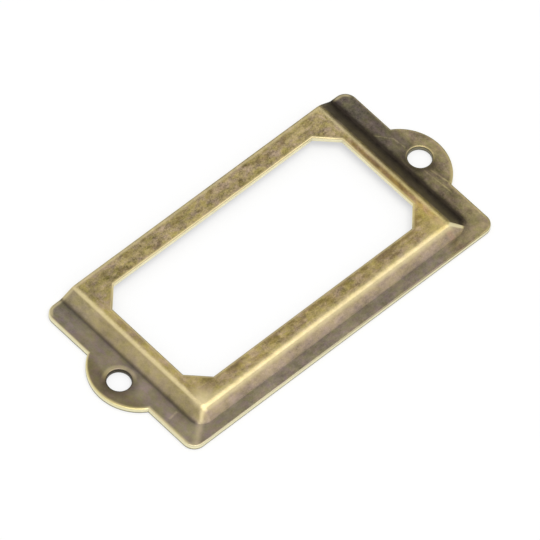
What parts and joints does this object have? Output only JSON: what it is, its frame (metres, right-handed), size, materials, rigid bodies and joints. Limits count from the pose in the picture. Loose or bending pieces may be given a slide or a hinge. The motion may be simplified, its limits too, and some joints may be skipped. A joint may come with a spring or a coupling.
{
  "type": "label frame pull",
  "caption": "Card holder for a drawer front: a thin pressed frame with an eight-sided window, a raised face open along the upper side, and round screw ears.",
  "frame": {"origin": "midway between the two screw holes, on the plane of the flange's back", "axes": "+X along the long side, +Y towards the open long side where the card slides in, +Z out of the face, away from the drawer front"},
  "size_m": [0.07, 0.033, 0.002],
  "materials": {
    "antique_brass": "antique finish: mottled olive brown, worn bright along ridges and edges"
  },
  "bodies": {
    "root": {"label_frame": "antique_brass"}
  },
  "joints": []
}
